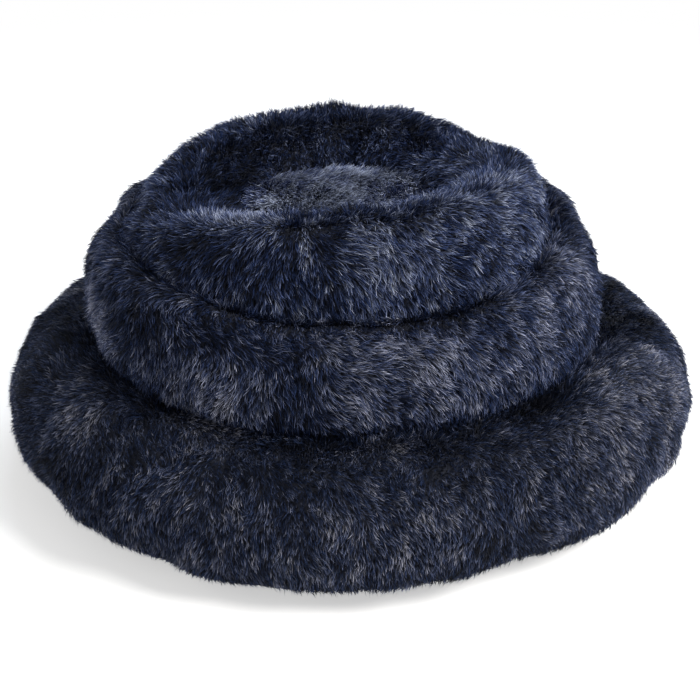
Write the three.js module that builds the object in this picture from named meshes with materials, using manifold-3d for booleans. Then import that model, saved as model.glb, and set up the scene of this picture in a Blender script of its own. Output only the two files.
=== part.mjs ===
// Nested set of three round plush pet beds: small in medium, medium on large.
// Millimetres, +Z up, the origin on the floor under the middle of the large bed.
// Each bed is a padded ring of four sewn panels round a soft centre pad, on a base cloth with a zip.
import * as THREE from 'three';
import { mergeVertices } from 'three/addons/utils/BufferGeometryUtils.js';
import Module from 'manifold-3d';

const wasm = await Module();
wasm.setup();

// Large bed, which stands on the floor; its crest's reach is measured from the nested bed's widest radius
const largeOuterRadius = 392;
const largeRingWidth = 182;
const largeCrestReach = 23;
const largeCrestHeight = 157;
const largeWidestHeight = 70;
const largeFootInset = 77;
const largeSeatHeight = 137;
const largePadEdgeHeight = 62;
const largePadCrownHeight = 80;
const largeZipLength = 310;
const largeZipOffset = 64;
const largeFirstSeamDegrees = -30;

// Medium bed, nested on the large one
const mediumOuterRadius = 291;
const mediumRingWidth = 158;
const mediumCrestReach = 17;
const mediumCrestHeight = 138;
const mediumWidestHeight = 66;
const mediumFootInset = 20;
const mediumSeatHeight = 74.7;
const mediumPadEdgeHeight = 40;
const mediumPadCrownHeight = 48;
const mediumZipLength = 200;
const mediumZipOffset = 48;
const mediumFirstSeamDegrees = 12;
const mediumSideShift = -8;

// Small bed, nested in the medium one
const smallOuterRadius = 237;
const smallRingWidth = 132;
const smallCrestInset = 34;
const smallCrestHeight = 124;
const smallWidestHeight = 62;
const smallInnerWidestHeight = 82;
const smallFootInset = 18;
const smallPadEdgeHeight = 74;
const smallPadCrownHeight = 82;
const smallZipLength = 160;
const smallZipOffset = 36;
const smallFirstSeamDegrees = -8;
const smallSideShift = -6;

// Cloth and filling
const coverThickness = 6;
const baseThickness = 10;
const sewnGap = 0.3;
const ringFillingGap = 6;
const padFillingGap = 1.5;
const nestSideGap = 1.8;
const seamDepth = 7;
const seamReach = 26;
const seatRound = 15;
const padRound = 13;

// Zip, seen from under the base cloth
const slotWidth = 26;
const tapeThickness = 1.2;
const tapeHeight = 6.6;
const tapeParting = 1.8;
const sliderLength = 14;
const sliderWidth = 11;
const sliderPlateThickness = 1.3;
const sliderPostLength = 5;
const sliderPostWidth = 1.2;
const bailWindowLength = 4;
const bailWindowHeight = 2.4;
const bailWireThickness = 1.1;
const bailWidth = 3;
const pullBarThickness = 1.4;
const pullArmWidth = 1.5;
const pullWidth = 7;
const pullEyeReach = 4.6;
const pullLength = 19;
const stopLength = 3;
const stopWidth = 6;
const stopThickness = 1.1;
const pullTipRoom = 1;
const cutOverrun = 1;

// Slow swells of the stuffed rings: [waves round the ring, share, degrees of the swell]
const largeCrestSwellShares = [[1, 0.045, 90], [2, 0.03, 0], [3, 0.012, 200]];
const largeSideSwellShares = [[3, 0.008, 262], [5, 0.004, 20]];
const mediumCrestSwellShares = [[1, 0.08, 90], [2, 0.045, 0], [3, 0.012, 120]];
const mediumSideSwellShares = [[3, 0.01, 20], [4, 0.005, 240]];
const smallCrestSwellShares = [[1, 0.1, -6], [2, 0.11, -75], [3, 0.015, 4]];
const smallSideSwellShares = [[3, 0.01, 290], [4, 0.005, 60]];

// Where the stations along one sewn panel stand, closest together beside its two seams
const panelStationShares = [0, 0.02, 0.06, 0.13, 0.22, 0.33, 0.44, 0.56, 0.67, 0.78, 0.87, 0.94, 0.98, 1];
const panelsPerRing = 4;

// Steps of a ring's section: up its wall to the widest height, round to the crest, and down the seat wall
const wallStepShares = [0, 0.5, 1];
const crestStepsDegrees = [22.5, 45, 67.5, 90];
const seatWallStepShares = [1, 0.5, 0];

// How far up from the seat to the crest the ring hugs the bed nested in it
const touchShare = 0.86;

// Points of a centre pad's crown: [share of the pad's radius, share of the rise from its edge to its crown]
const padCrownShares = [[0.66, 0.6], [0.33, 0.9]];

const fillingStationsPerRing = 24;
const padSides = 28;
const footSides = 52;
const pullEndSegments = 8;

// Points closer than this share of the sewn gap are one point
const mergeShare = 0.001;

const plushMaterial = new THREE.MeshStandardMaterial({ color: 0x2b3a66, roughness: 0.95, metalness: 0 });
const padPlushMaterial = new THREE.MeshStandardMaterial({ color: 0x3a4670, roughness: 0.95, metalness: 0 });
const fillingMaterial = new THREE.MeshStandardMaterial({ color: 0xe9e7e1, roughness: 1, metalness: 0 });
const baseMaterial = new THREE.MeshStandardMaterial({ color: 0x14171f, roughness: 0.85, metalness: 0 });
const tapeMaterial = new THREE.MeshStandardMaterial({ color: 0x1b2440, roughness: 0.8, metalness: 0 });
const metalMaterial = new THREE.MeshStandardMaterial({ color: 0x8f9298, roughness: 0.35, metalness: 1 });

const largeBed = {
  name: 'large',
  level: 0,
  centreX: 0,
  outerRadius: largeOuterRadius,
  innerRadius: largeOuterRadius - largeRingWidth,
  crestRadius: mediumOuterRadius + largeCrestReach,
  crestHeight: largeCrestHeight,
  widestHeight: largeWidestHeight,
  footInset: largeFootInset,
  seatHeight: largeSeatHeight,
  padEdgeHeight: largePadEdgeHeight,
  padCrownHeight: largePadCrownHeight,
  zipLength: largeZipLength,
  zipOffset: largeZipOffset,
  crestSwells: largeCrestSwellShares,
  sideSwells: largeSideSwellShares,
  firstSeamDegrees: largeFirstSeamDegrees,
  pullHangs: false,
};

const mediumBed = {
  name: 'medium',
  level: largeBed.level + largeSeatHeight + sewnGap,
  centreX: mediumSideShift,
  outerRadius: mediumOuterRadius,
  innerRadius: mediumOuterRadius - mediumRingWidth,
  crestRadius: smallOuterRadius + mediumCrestReach,
  crestHeight: mediumCrestHeight,
  widestHeight: mediumWidestHeight,
  footInset: mediumFootInset,
  seatHeight: mediumSeatHeight,
  padEdgeHeight: mediumPadEdgeHeight,
  padCrownHeight: mediumPadCrownHeight,
  zipLength: mediumZipLength,
  zipOffset: mediumZipOffset,
  crestSwells: mediumCrestSwellShares,
  sideSwells: mediumSideSwellShares,
  firstSeamDegrees: mediumFirstSeamDegrees,
  pullHangs: true,
};

const smallBed = {
  name: 'small',
  level: mediumBed.level + mediumSeatHeight + sewnGap,
  centreX: mediumSideShift + smallSideShift,
  outerRadius: smallOuterRadius,
  innerRadius: smallOuterRadius - smallRingWidth,
  crestRadius: smallOuterRadius - smallCrestInset,
  crestHeight: smallCrestHeight,
  widestHeight: smallWidestHeight,
  innerWidestHeight: smallInnerWidestHeight,
  footInset: smallFootInset,
  padEdgeHeight: smallPadEdgeHeight,
  padCrownHeight: smallPadCrownHeight,
  zipLength: smallZipLength,
  zipOffset: smallZipOffset,
  crestSwells: smallCrestSwellShares,
  sideSwells: smallSideSwellShares,
  firstSeamDegrees: smallFirstSeamDegrees,
  pullHangs: true,
};

largeBed.guest = mediumBed;
mediumBed.guest = smallBed;

const floorLine = baseThickness + sewnGap;

// Factor of a swelling table at one azimuth
function swellAt(swells, azimuth) {
  let factor = 1;
  for (const [waves, share, peakDegrees] of swells) {
    factor += share * Math.cos(waves * (azimuth - THREE.MathUtils.degToRad(peakDegrees)));
  }
  return factor;
}

// Radius of a ring's outer wall below its widest height
function wallRadius(bed, azimuth, height) {
  const foot = bed.outerRadius - bed.footInset;
  const widest = bed.outerRadius * swellAt(bed.sideSwells, azimuth);
  const below = Math.max(0, 1 - height / bed.widestHeight);
  return widest - (widest - foot) * below * below;
}

// Outer side of a ring's section, from its sewn foot over the widest height to the crest
function outerSide(bed, azimuth, crestHeight) {
  const line = [];
  for (const share of wallStepShares) {
    const height = bed.widestHeight * share;
    line.push(new THREE.Vector2(wallRadius(bed, azimuth, height), height));
  }
  const reach = wallRadius(bed, azimuth, bed.widestHeight) - bed.crestRadius;
  const rise = crestHeight - bed.widestHeight;
  for (const degrees of crestStepsDegrees) {
    const turn = THREE.MathUtils.degToRad(degrees);
    const across = bed.crestRadius + reach * Math.cos(turn);
    line.push(new THREE.Vector2(across, bed.widestHeight + rise * Math.sin(turn)));
  }
  return line;
}

// Inner side of an empty ring, from beside the crest down to the sewn foot of the inner wall
function hollowSide(bed, crestHeight) {
  const line = [];
  const reach = bed.crestRadius - bed.innerRadius;
  const rise = crestHeight - bed.innerWidestHeight;
  for (const degrees of crestStepsDegrees) {
    const turn = THREE.MathUtils.degToRad(degrees);
    const across = bed.crestRadius - reach * Math.sin(turn);
    line.push(new THREE.Vector2(across, bed.innerWidestHeight + rise * Math.cos(turn)));
  }
  line.push(new THREE.Vector2(bed.innerRadius, (bed.innerWidestHeight + floorLine) / 2));
  line.push(new THREE.Vector2(bed.innerRadius, floorLine));
  return line;
}

// Inner side of a ring that another bed presses into: its wall, its foot and the flat seat under it
function nestedSide(bed, azimuth, crestHeight) {
  const guest = bed.guest;
  const shift = (guest.centreX - bed.centreX) * Math.cos(azimuth);
  const touchHeight = (crestHeight - bed.seatHeight) * touchShare;
  const line = [];
  for (const share of seatWallStepShares) {
    const height = touchHeight * share;
    const across = wallRadius(guest, azimuth, height) + shift + nestSideGap;
    line.push(new THREE.Vector2(across, bed.seatHeight + height));
  }
  line.push(new THREE.Vector2(bed.innerRadius + seatRound, bed.seatHeight));
  line.push(new THREE.Vector2(bed.innerRadius, bed.seatHeight - seatRound));
  line.push(new THREE.Vector2(bed.innerRadius, floorLine));
  return line;
}

// A section line moved inwards, each point square to its neighbours, its two feet kept on the base
function insetLine(line, depthAt) {
  return line.map((point, i) => {
    const before = line[Math.max(0, i - 1)];
    const after = line[Math.min(line.length - 1, i + 1)];
    const along = after.clone().sub(before).normalize();
    const inward = new THREE.Vector2(-along.y, along.x);
    const moved = point.clone().addScaledVector(inward, depthAt(i));
    if (i === 0 || i === line.length - 1) {
      moved.x = point.x + Math.sign(inward.x) * depthAt(i);
      moved.y = floorLine;
    }
    return moved;
  });
}

// How deep the seams draw the cover in at one azimuth
function seamDrawAt(bed, azimuth) {
  const spacing = (2 * Math.PI) / panelsPerRing;
  const fromSeam = azimuth - THREE.MathUtils.degToRad(bed.firstSeamDegrees);
  const offset = fromSeam - spacing * Math.round(fromSeam / spacing);
  const distance = offset * bed.outerRadius;
  return seamDepth * Math.exp(-((distance / seamReach) ** 2));
}

// A ring's section at one azimuth, a given depth inside the cover's outer face
function ringLine(bed, azimuth, depth) {
  const crestHeight = bed.crestHeight * swellAt(bed.crestSwells, azimuth);
  const inner = bed.guest ? nestedSide(bed, azimuth, crestHeight) : hollowSide(bed, crestHeight);
  const line = [...outerSide(bed, azimuth, crestHeight), ...inner];
  const seamDraw = seamDrawAt(bed, azimuth);
  const feet = [0, line.length - 1];
  return insetLine(line, (i) => depth + (feet.includes(i) ? 0 : seamDraw));
}

// Section points stood up at an azimuth about the bed's axis
function standUp(bed, line, azimuth) {
  return line.map((point) => new THREE.Vector3(
    bed.centreX + point.x * Math.cos(azimuth),
    point.x * Math.sin(azimuth),
    bed.level + point.y,
  ));
}

// A closed body from points and triangles, with its faces pointing out
function solidGeometry(points, faces) {
  let volume = 0;
  for (const [a, b, c] of faces) {
    volume += points[a].dot(points[b].clone().cross(points[c]));
  }
  const outward = volume < 0 ? faces.map(([a, b, c]) => [a, c, b]) : faces;
  const geometry = new THREE.BufferGeometry();
  geometry.setFromPoints(points);
  geometry.setIndex(outward.flat());
  geometry.computeVertexNormals();
  return geometry;
}

function quad(a, b, c, d) {
  return [[a, b, c], [a, c, d]];
}

// Faces between closed sections of equal length, joined in order
function sleeveFaces(sectionCount, size, closed) {
  const faces = [];
  const steps = closed ? sectionCount : sectionCount - 1;
  for (let s = 0; s < steps; s++) {
    const here = s * size;
    const next = ((s + 1) % sectionCount) * size;
    for (let i = 0; i < size; i++) {
      const j = (i + 1) % size;
      faces.push(...quad(here + i, here + j, next + j, next + i));
    }
  }
  return faces;
}

// One sewn panel of a ring cover: an arched shell of plush, open underneath
function ringPanel(bed, index) {
  const spacing = (2 * Math.PI) / panelsPerRing;
  const start = THREE.MathUtils.degToRad(bed.firstSeamDegrees) + index * spacing;
  const seamTurn = sewnGap / 2 / bed.innerRadius;
  const points = [];
  let size = 0;
  for (const share of panelStationShares) {
    const azimuth = start + seamTurn + (spacing - 2 * seamTurn) * share;
    const outer = ringLine(bed, azimuth, 0);
    const inner = ringLine(bed, azimuth, coverThickness);
    const section = [...outer, ...inner.reverse()];
    size = section.length;
    points.push(...standUp(bed, section, azimuth));
  }
  const faces = sleeveFaces(panelStationShares.length, size, false);
  const last = (panelStationShares.length - 1) * size;
  for (let i = 0; i < size / 2 - 1; i++) {
    const across = size - 1 - i;
    faces.push(...quad(i, across, across - 1, i + 1));
    faces.push(...quad(last + i, last + i + 1, last + across - 1, last + across));
  }
  return solidGeometry(points, faces);
}

// The ring of fibre inside the panels
function ringFilling(bed) {
  const points = [];
  let size = 0;
  for (let s = 0; s < fillingStationsPerRing; s++) {
    const turn = (2 * Math.PI * s) / fillingStationsPerRing;
    const azimuth = THREE.MathUtils.degToRad(bed.firstSeamDegrees) + turn;
    const line = ringLine(bed, azimuth, coverThickness + ringFillingGap);
    size = line.length;
    points.push(...standUp(bed, line, azimuth));
  }
  return solidGeometry(points, sleeveFaces(fillingStationsPerRing, size, true));
}

// Radius that fits inside the flats of the ring's inner wall
function padRadius(bed) {
  const steps = panelStationShares.slice(1).map((share, i) => share - panelStationShares[i]);
  const halfStep = (Math.max(...steps) * Math.PI) / panelsPerRing;
  return bed.innerRadius * Math.cos(halfStep) - sewnGap;
}

// Half section of the centre pad, from its foot over its rounded edge to the middle of the crown
function padLine(bed, depth) {
  const radius = padRadius(bed) - depth;
  const edge = bed.padEdgeHeight - depth;
  const rise = bed.padCrownHeight - bed.padEdgeHeight;
  const crownPoints = padCrownShares.map(([radiusShare, riseShare]) => (
    new THREE.Vector2(radius * radiusShare, edge + rise * riseShare)
  ));
  return [
    new THREE.Vector2(radius, floorLine),
    new THREE.Vector2(radius, edge - padRound),
    new THREE.Vector2(radius - padRound, edge),
    ...crownPoints,
    new THREE.Vector2(0, edge + rise),
  ];
}

// The plush top of the centre pad, a crowned cap with drawn-down sides
function centrePanel(bed) {
  const outline = [...padLine(bed, 0), ...padLine(bed, coverThickness).reverse()];
  outline.push(outline[0].clone());
  return turnedSolid(bed, outline);
}

// The fibre pad under the centre panel
function centreFilling(bed) {
  const outline = padLine(bed, coverThickness + padFillingGap);
  outline.push(new THREE.Vector2(0, floorLine), outline[0].clone());
  return turnedSolid(bed, outline);
}

// A half section turned about the bed's axis
function turnedSolid(bed, outline) {
  const lathe = new THREE.LatheGeometry(outline, padSides);
  lathe.rotateX(Math.PI / 2);
  lathe.translate(bed.centreX, 0, bed.level);
  return facingOut(lathe);
}

// The same surface with its shared points merged, empty triangles dropped and its faces pointing out
function facingOut(geometry) {
  geometry.deleteAttribute('normal');
  geometry.deleteAttribute('uv');
  const merged = mergeVertices(geometry, sewnGap * mergeShare);
  const positions = merged.getAttribute('position');
  const points = [];
  for (let i = 0; i < positions.count; i++) {
    points.push(new THREE.Vector3().fromBufferAttribute(positions, i));
  }
  const faces = [];
  for (let i = 0; i < merged.index.count; i += 3) {
    const face = [merged.index.getX(i), merged.index.getX(i + 1), merged.index.getX(i + 2)];
    if (new Set(face).size === 3) faces.push(face);
  }
  return solidGeometry(points, faces);
}

function boxGeometry(lengthX, widthY, heightZ, x, y, z) {
  const box = new THREE.BoxGeometry(lengthX, widthY, heightZ);
  box.translate(x, y, z);
  return box;
}

function toSolid(geometry) {
  const plain = facingOut(geometry.clone());
  return new wasm.Manifold(new wasm.Mesh({
    numProp: 3,
    vertProperties: plain.getAttribute('position').array,
    triVerts: new Uint32Array(plain.index.array),
  }));
}

function fromSolid(solid) {
  const mesh = solid.getMesh();
  const geometry = new THREE.BufferGeometry();
  geometry.setAttribute('position', new THREE.BufferAttribute(mesh.vertProperties, 3));
  geometry.setIndex(new THREE.BufferAttribute(mesh.triVerts, 1));
  geometry.computeVertexNormals();
  return geometry;
}

// The flat base cloth, a round sheet with the zip's slot cut through it
function baseCloth(bed) {
  const footRadius = bed.outerRadius - bed.footInset;
  const sheet = new THREE.CylinderGeometry(footRadius, footRadius, baseThickness, footSides);
  sheet.rotateX(Math.PI / 2);
  sheet.translate(bed.centreX, 0, bed.level + baseThickness / 2);
  const slotHeight = baseThickness + 2 * cutOverrun;
  const slot = boxGeometry(
    bed.zipLength,
    slotWidth,
    slotHeight,
    bed.centreX,
    bed.zipOffset,
    bed.level + baseThickness / 2,
  );
  return fromSolid(toSolid(sheet).subtract(toSolid(slot)));
}

// One half of the zip's tape, from the slot's edge to the parting; side is +1 or -1
function zipTape(bed, side) {
  const width = (slotWidth - tapeParting) / 2 - sewnGap;
  const middle = side * (tapeParting / 2 + width / 2);
  return boxGeometry(
    bed.zipLength - 2 * sewnGap,
    width,
    tapeThickness,
    bed.centreX,
    bed.zipOffset + middle,
    bed.level + tapeHeight + tapeThickness / 2,
  );
}

// Heights of the slider's plates and of the pull's axle, above the underside of the base cloth
const lowerPlateTop = tapeHeight - sewnGap;
const lowerPlateBottom = lowerPlateTop - sliderPlateThickness;
const upperPlateBottom = tapeHeight + tapeThickness + sewnGap;
const pullAxleHeight = lowerPlateBottom - bailWindowHeight / 2;

// Where the closed zip's slider stands, measured from the bed's middle
function sliderPlace(bed) {
  return bed.zipLength / 2 - sewnGap - stopLength - sewnGap - sliderLength / 2;
}

// The slider: a plate on each side of the tape, the post between them, and the bail for the pull
function zipSlider(bed) {
  const x = bed.centreX + sliderPlace(bed);
  const y = bed.zipOffset;
  const z = bed.level;
  const plate = sliderPlateThickness;
  const postHeight = upperPlateBottom - lowerPlateTop + plate;
  const postZ = lowerPlateTop - plate / 2 + postHeight / 2;
  const legX = bailWindowLength / 2 + bailWireThickness / 2;
  const legHeight = bailWindowHeight + bailWireThickness + plate / 2;
  const legZ = lowerPlateBottom + plate / 2 - legHeight / 2;
  const wireZ = lowerPlateBottom - bailWindowHeight - bailWireThickness / 2;
  const wireLength = bailWindowLength + 2 * bailWireThickness;
  const pieces = [
    boxGeometry(sliderLength, sliderWidth, plate, x, y, z + lowerPlateBottom + plate / 2),
    boxGeometry(sliderLength, sliderWidth, plate, x, y, z + upperPlateBottom + plate / 2),
    boxGeometry(sliderPostLength, sliderPostWidth, postHeight, x, y, z + postZ),
    boxGeometry(bailWireThickness, bailWidth, legHeight, x - legX, y, z + legZ),
    boxGeometry(bailWireThickness, bailWidth, legHeight, x + legX, y, z + legZ),
    boxGeometry(wireLength, bailWidth, bailWireThickness, x, y, z + wireZ),
  ];
  return fromSolid(pieces.map(toSolid).reduce((whole, piece) => whole.add(piece)));
}

// The pull: a flat tab with an eye whose end bar turns in the bail
function zipPull(bed) {
  const halfWidth = pullWidth / 2;
  const halfBar = pullBarThickness / 2;
  const outline = new THREE.Shape();
  outline.moveTo(halfBar, -halfWidth);
  outline.lineTo(halfBar, halfWidth);
  outline.lineTo(-pullLength + halfWidth, halfWidth);
  outline.absarc(-pullLength + halfWidth, 0, halfWidth, Math.PI / 2, (3 * Math.PI) / 2, false);
  outline.closePath();
  const eye = new THREE.Path();
  eye.moveTo(-halfBar, -halfWidth + pullArmWidth);
  eye.lineTo(-pullEyeReach, -halfWidth + pullArmWidth);
  eye.lineTo(-pullEyeReach, halfWidth - pullArmWidth);
  eye.lineTo(-halfBar, halfWidth - pullArmWidth);
  eye.closePath();
  outline.holes.push(eye);
  const tab = new THREE.ExtrudeGeometry(outline, {
    depth: pullBarThickness,
    bevelEnabled: false,
    curveSegments: pullEndSegments,
  });
  tab.translate(0, 0, -pullBarThickness / 2);
  if (bed.pullHangs) tab.rotateY(-Math.PI / 2);
  tab.translate(bed.centreX + sliderPlace(bed), bed.zipOffset, bed.level + pullAxleHeight);
  return facingOut(tab);
}

// Spare tape past the bottom stop, over which the flat pull of the open zip lies
const tapeEndLength = pullLength - sliderLength / 2 - stopLength + pullTipRoom;

// A stop clamped under the tape, just past one end of the slider's run; side is +1 (top) or -1 (bottom)
function zipStop(bed, side) {
  const spareTape = side > 0 ? 0 : tapeEndLength;
  const x = bed.centreX + side * (bed.zipLength / 2 - sewnGap - spareTape - stopLength / 2);
  const z = bed.level + tapeHeight - sewnGap - stopThickness / 2;
  return boxGeometry(stopLength, stopWidth, stopThickness, x, bed.zipOffset, z);
}

function named(name, geometry, material) {
  const mesh = new THREE.Mesh(geometry, material);
  mesh.name = name;
  return mesh;
}

// All the pieces of one bed
function buildBed(bed) {
  const group = new THREE.Group();
  for (let index = 0; index < panelsPerRing; index++) {
    group.add(named(`${bed.name}_ring_panel_${index + 1}`, ringPanel(bed, index), plushMaterial));
  }
  group.add(named(`${bed.name}_ring_filling`, ringFilling(bed), fillingMaterial));
  group.add(named(`${bed.name}_centre_panel`, centrePanel(bed), padPlushMaterial));
  group.add(named(`${bed.name}_centre_filling`, centreFilling(bed), fillingMaterial));
  group.add(named(`${bed.name}_base_cloth`, baseCloth(bed), baseMaterial));
  group.add(named(`${bed.name}_zip_tape_back`, zipTape(bed, 1), tapeMaterial));
  group.add(named(`${bed.name}_zip_tape_front`, zipTape(bed, -1), tapeMaterial));
  group.add(named(`${bed.name}_zip_slider`, zipSlider(bed), metalMaterial));
  group.add(named(`${bed.name}_zip_pull`, zipPull(bed), metalMaterial));
  group.add(named(`${bed.name}_zip_top_stop`, zipStop(bed, 1), metalMaterial));
  group.add(named(`${bed.name}_zip_bottom_stop`, zipStop(bed, -1), metalMaterial));
  return group;
}

const petBedSet = new THREE.Group();
for (const bed of [largeBed, mediumBed, smallBed]) {
  petBedSet.add(buildBed(bed));
}

export default petBedSet;
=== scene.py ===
import math

import bpy
import numpy as np
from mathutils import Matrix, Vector


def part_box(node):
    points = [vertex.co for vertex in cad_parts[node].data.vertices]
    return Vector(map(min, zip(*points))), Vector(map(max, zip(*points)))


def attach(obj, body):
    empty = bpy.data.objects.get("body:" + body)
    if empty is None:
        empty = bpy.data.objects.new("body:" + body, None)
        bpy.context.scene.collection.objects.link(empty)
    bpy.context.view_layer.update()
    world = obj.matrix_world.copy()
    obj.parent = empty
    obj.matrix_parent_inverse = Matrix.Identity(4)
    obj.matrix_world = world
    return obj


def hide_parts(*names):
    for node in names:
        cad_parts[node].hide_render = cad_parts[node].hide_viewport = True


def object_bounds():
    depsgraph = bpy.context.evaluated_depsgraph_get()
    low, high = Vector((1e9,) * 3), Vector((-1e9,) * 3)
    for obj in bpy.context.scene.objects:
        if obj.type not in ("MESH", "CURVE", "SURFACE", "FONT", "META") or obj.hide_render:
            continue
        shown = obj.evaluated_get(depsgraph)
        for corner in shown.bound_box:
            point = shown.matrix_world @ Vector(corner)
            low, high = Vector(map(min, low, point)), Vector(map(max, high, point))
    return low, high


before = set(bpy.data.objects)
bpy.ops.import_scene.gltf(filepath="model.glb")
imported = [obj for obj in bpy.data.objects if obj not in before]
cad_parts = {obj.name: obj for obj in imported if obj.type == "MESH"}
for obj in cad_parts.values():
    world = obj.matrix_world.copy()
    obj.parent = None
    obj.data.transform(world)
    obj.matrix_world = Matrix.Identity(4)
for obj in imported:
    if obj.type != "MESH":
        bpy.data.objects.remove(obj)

# Nested set of three round plush beds, dressed in long navy pile. Metres, +Z up, -Y towards the camera.

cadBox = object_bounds()  # the solids' own box, before anything is dressed
scene = bpy.context.scene
scene.view_settings.view_transform = "Standard"
print("frame loaded")

# Camera, lights and floor

camera = {
    "place": (0.0, -1.785, 0.949),
    "pitchDegrees": 24.98,  # below the horizon
    "lens": 85.74,
    "sensor": 36.0,
    "nearest": 0.01,
}

lights = {
    "key": {"place": (2.1, -1.3, 2.1), "size": 1.5, "watts": 110.0, "color": (1.0, 0.98, 0.95)},
    "fill": {"place": (-1.9, -1.6, 1.5), "size": 2.0, "watts": 11.0, "color": (1.0, 0.98, 0.95)},
    "back": {"place": (0.3, 2.0, 2.4), "size": 2.2, "watts": 44.0, "color": (0.82, 0.90, 1.0)},
}

lightsAim = (0, 0, 0.15)

backdrop = {
    "floorSize": 14.0,
    "floorGrey": 0.86,
    "floorGlow": 0.5,  # only the camera sees it
    "shadowReach": (0.9, 2.2),  # past these distances the floor fades to plain white
    "worldLight": 0.33,
}


def makeCamera():
    data = bpy.data.cameras.new("camera")
    data.lens = camera["lens"]
    data.sensor_width = camera["sensor"]
    data.clip_start = camera["nearest"]
    seen = bpy.data.objects.new("camera", data)
    seen.location = camera["place"]
    seen.rotation_euler = (math.radians(90 - camera["pitchDegrees"]), 0, 0)
    scene.collection.objects.link(seen)
    scene.camera = seen


def makeLights():
    for name, values in lights.items():
        data = bpy.data.lights.new(name, "AREA")
        data.shape = "DISK"
        data.size = values["size"]
        data.energy = values["watts"]
        data.color = values["color"]
        lamp = bpy.data.objects.new(name, data)
        lamp.location = values["place"]
        aim = Vector(lightsAim) - lamp.location
        lamp.rotation_euler = aim.to_track_quat("-Z", "Y").to_euler()
        scene.collection.objects.link(lamp)


def seenShare(nodes, links, sockets):
    # 1 on the kinds of ray that are named, 0 on the rest
    path = nodes.new("ShaderNodeLightPath")
    share = path.outputs[sockets[0]]
    for socket in sockets[1:]:
        either = nodes.new("ShaderNodeMath")
        either.operation = "MAXIMUM"
        links.new(share, either.inputs[0])
        links.new(path.outputs[socket], either.inputs[1])
        share = either.outputs[0]
    return share


def mixed(nodes, links, share, first, second):
    # the first shader where the share is 0, the second where it is 1
    mix = nodes.new("ShaderNodeMixShader")
    for place, socket in enumerate((share, first, second)):
        links.new(socket, mix.inputs[place])
    return mix.outputs[0]


def added(primitive, **values):
    # a new primitive, selected alone
    bpy.ops.object.select_all(action="DESELECT")
    primitive(**values)
    return bpy.context.object


def makeWorld():
    # plain white where it is seen, a softer light on the beds
    world = bpy.data.worlds.new("studio")
    world.use_nodes = True
    scene.world = world
    nodes, links = world.node_tree.nodes, world.node_tree.links
    nodes.clear()
    output = nodes.new("ShaderNodeOutputWorld")
    soft = nodes.new("ShaderNodeBackground")
    soft.inputs["Strength"].default_value = backdrop["worldLight"]
    white = nodes.new("ShaderNodeBackground")
    for node in (soft, white):
        node.inputs["Color"].default_value = (1, 1, 1, 1)
    seen = seenShare(nodes, links, ("Is Camera Ray", "Is Glossy Ray", "Is Transmission Ray"))
    light = mixed(nodes, links, seen, soft.outputs[0], white.outputs[0])
    links.new(light, output.inputs["Surface"])


def makeFloor():
    # pale and matte, with a glow that only the camera and mirrors see, so that the shadow stays
    floor = added(bpy.ops.mesh.primitive_plane_add, size=backdrop["floorSize"], location=(0, 0, 0))
    floor.name = "floor"
    paint = bpy.data.materials.new("floorPaint")
    paint.use_nodes = True
    nodes, links = paint.node_tree.nodes, paint.node_tree.links
    nodes.clear()
    output = nodes.new("ShaderNodeOutputMaterial")
    matte = nodes.new("ShaderNodeBsdfDiffuse")
    matte.inputs["Color"].default_value = (*[backdrop["floorGrey"]] * 3, 1)
    glow = nodes.new("ShaderNodeEmission")
    glow.inputs["Strength"].default_value = backdrop["floorGlow"]
    both = nodes.new("ShaderNodeAddShader")
    links.new(matte.outputs[0], both.inputs[0])
    links.new(glow.outputs[0], both.inputs[1])
    white = nodes.new("ShaderNodeEmission")
    coords = nodes.new("ShaderNodeTexCoord")
    away = nodes.new("ShaderNodeVectorMath")
    away.operation = "LENGTH"
    links.new(coords.outputs["Object"], away.inputs[0])
    fade = nodes.new("ShaderNodeMapRange")
    fade.interpolation_type = "SMOOTHSTEP"
    fade.inputs["From Min"].default_value, fade.inputs["From Max"].default_value = backdrop["shadowReach"]
    links.new(away.outputs["Value"], fade.inputs["Value"])
    seenFloor = mixed(nodes, links, fade.outputs["Result"], both.outputs[0], white.outputs[0])
    seen = seenShare(nodes, links, ("Is Camera Ray", "Is Glossy Ray"))
    links.new(mixed(nodes, links, seen, matte.outputs[0], seenFloor), output.inputs["Surface"])
    floor.data.materials.append(paint)


makeCamera()
makeLights()
makeWorld()
makeFloor()
print("camera, lights and floor set")

# The beds: levels, middles and foot radii come from the frame, the rest is set here.
# Section steps run 0 at the outer foot, 2 at the widest height, 6 at the crest and 12 at the inner foot.
# A swell is (waves round the ring, share, degrees of its peak). Pile and fine are the shares of a strand's
# full length and width, frosting says how far the tips' tones differ, the foot shade is painted shade, how
# dark the clipped foot is painted where the bed meets the floor or the bed below, and lumpy how strong the
# wide lumps are.
# A puff is where the stuffing is fuller or slimmer: (degrees round, step, reach in degrees, reach in steps,
# how far out).
# A comb brushes the pile: (degrees round, step, reach in degrees, reach in steps, turn, tone, lean). Its
# tone is partly the nap's own and partly painted light and shade: lighter where the light falls on the right
# front, darker in the creases, in the small bed's hollow and at the large bed's foot. A turn above 0 combs
# to the right on the front, and a lean above 0 presses down.

panelsPerRing = 4
sectionSteps = 12
shared = {
    "base": 0.0103,  # height of the base cloth's top
    "sideGap": 0.0018,
    "seatRound": 0.015,
    "padRound": 0.013,
    "touch": 0.86,  # how far up the seat wall the nested bed is hugged
    "seamDepth": 0.009,
    "seamReach": 0.024,
    "crestSeamEase": 0.9,  # how much shallower the seams run over the crest
}

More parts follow.
